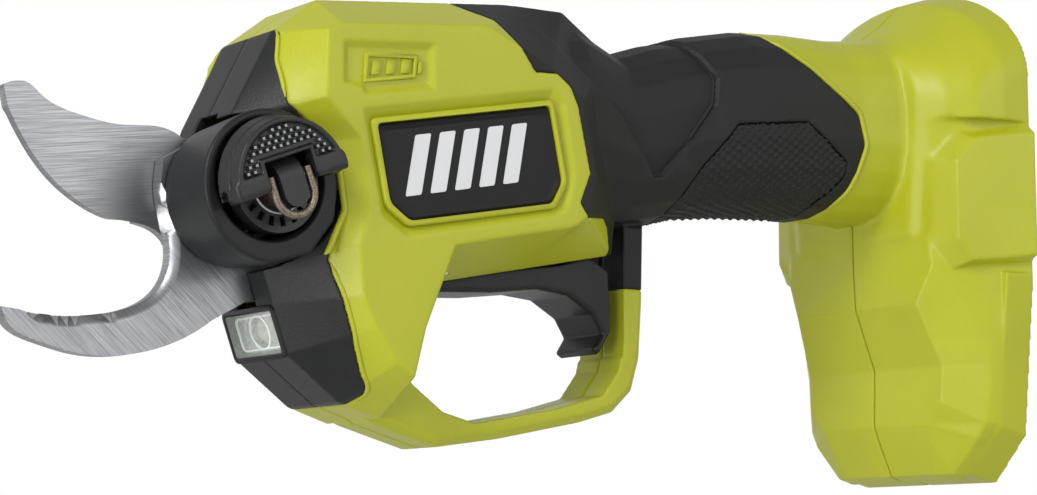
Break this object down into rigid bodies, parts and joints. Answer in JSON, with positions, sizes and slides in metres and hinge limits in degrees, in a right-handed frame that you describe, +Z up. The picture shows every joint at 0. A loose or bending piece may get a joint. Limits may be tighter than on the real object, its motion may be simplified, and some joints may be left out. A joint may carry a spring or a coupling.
{
  "type": "battery electric pruner",
  "caption": "Hand-held battery pruning shear: a motor-driven cutting blade closes on a fixed hook blade, with a finger-guarded trigger, a soft grip and a rear battery dock.",
  "frame": {"origin": "centre of the battery stem pocket's mouth, in the plane of the dock's rear rim", "axes": "+X out of the dock towards the battery, so the blades point to -X; +Z up; y = 0 is the parting plane of the housing halves"},
  "size_m": [0.2755, 0.0828, 0.1347],
  "materials": {
    "green_plastic": "fine moulded texture",
    "black_plastic": "fine moulded texture",
    "soft_grip": "soft touch with a diamond pattern",
    "badge_plastic": "satin",
    "clear_lens": "clear",
    "reflector": "bright",
    "circuit_board": "satin",
    "blade_steel": "ground",
    "plain_steel": "turned",
    "bronze": "dull",
    "magnet": "matt",
    "alloy": "as extruded",
    "lead_cover": "matt"
  },
  "bodies": {
    "tool": {"housing_left": "green_plastic", "housing_right": "green_plastic", "nose_cover_left": "black_plastic", "nose_cover_right": "black_plastic", "pivot_collar": "black_plastic", "pivot_cap": "black_plastic", "grip_overmould_left": "soft_grip", "grip_overmould_right": "soft_grip", "grip_pad_left": "soft_grip", "grip_pad_right": "soft_grip", "badge_left": "badge_plastic", "badge_right": "badge_plastic", "lamp_lens": "clear_lens", "lamp_reflector": "reflector", "lamp_board": "circuit_board", "hook_blade": "blade_steel", "blade_frame": "plain_steel", "frame_screws": "plain_steel", "pivot_bolt": "plain_steel", "pivot_bushing": "bronze", "pivot_washers": "plain_steel", "screw_bearing": "plain_steel", "gearbox_case": "plain_steel", "ring_gear": "plain_steel", "motor_can": "plain_steel", "motor_magnets": "magnet", "motor_bearings": "plain_steel", "control_board": "circuit_board", "heat_sink": "alloy", "trigger_pin": "plain_steel", "trigger_spring": "plain_steel", "trigger_switch": "black_plastic", "stem_sleeve": "black_plastic", "battery_terminals": "bronze", "latch_strikes": "plain_steel", "housing_screws": "plain_steel", "motor_leads": "lead_cover", "battery_leads": "lead_cover"},
    "blade": {"cutting_blade": "blade_steel", "crank_pin": "plain_steel"},
    "nut": {"drive_nut": "plain_steel"},
    "screw": {"drive_screw": "plain_steel"},
    "rotor": {"motor_rotor": "plain_steel"},
    "trigger": {"trigger": "black_plastic"},
    "plunger": {"switch_plunger": "black_plastic"},
    "knob": {"tension_knob": "black_plastic", "lever_pin": "plain_steel", "wire_loop": "bronze"},
    "lever": {"flip_lever": "black_plastic"}
  },
  "joints": [
    {"name": "rotor_spin", "type": "hinge", "parent": "tool", "child": "rotor", "pos_m": [-0.15, 0, -0.02], "axis": [1, 0, 0], "range_deg": [0, 6326.14]},
    {"name": "screw_spin", "type": "hinge", "parent": "tool", "child": "screw", "pos_m": [-0.19, 0, -0.02], "axis": [1, 0, 0], "range_deg": [0, 1265.43]},
    {"name": "nut_slide", "type": "slide", "parent": "tool", "child": "nut", "axis": [-1, 0, 0], "range_m": [0, 0.01055]},
    {"name": "blade_pivot", "type": "hinge", "parent": "tool", "child": "blade", "pos_m": [-0.222, 0, -0.0314], "axis": [0, -1, 0], "range_deg": [0, 50.02]},
    {"name": "trigger_hinge", "type": "hinge", "parent": "tool", "child": "trigger", "pos_m": [-0.171, 0, -0.045], "axis": [0, -1, 0], "range_deg": [0, 6.5], "stiffness_Nm_per_rad": 1.5, "springref_deg": -4.58, "deforming": ["trigger_spring"]},
    {"name": "plunger_slide", "type": "slide", "parent": "tool", "child": "plunger", "axis": [0, 0, 1], "range_m": [0, 0.0052]},
    {"name": "knob_turn", "type": "hinge", "parent": "tool", "child": "knob", "pos_m": [-0.222, 0, -0.0314], "axis": [0, -1, 0], "range_deg": [-180, 180]},
    {"name": "lever_flip", "type": "hinge", "parent": "knob", "child": "lever", "pos_m": [-0.22236, -0.0274, -0.03047], "axis": [0.9336, 0, 0.3584], "range_deg": [0, 78]}
  ],
  "couplings": [
    {"joint": "screw_spin", "follows": "rotor_spin", "ratio": 0.2},
    {"joint": "nut_slide", "follows": "rotor_spin", "m_per_rad": 0.000095493},
    {"joint": "blade_pivot", "follows": "rotor_spin", "ratio": 0.0079037},
    {"joint": "plunger_slide", "follows": "trigger_hinge", "m_per_rad": 0.045}
  ]
}
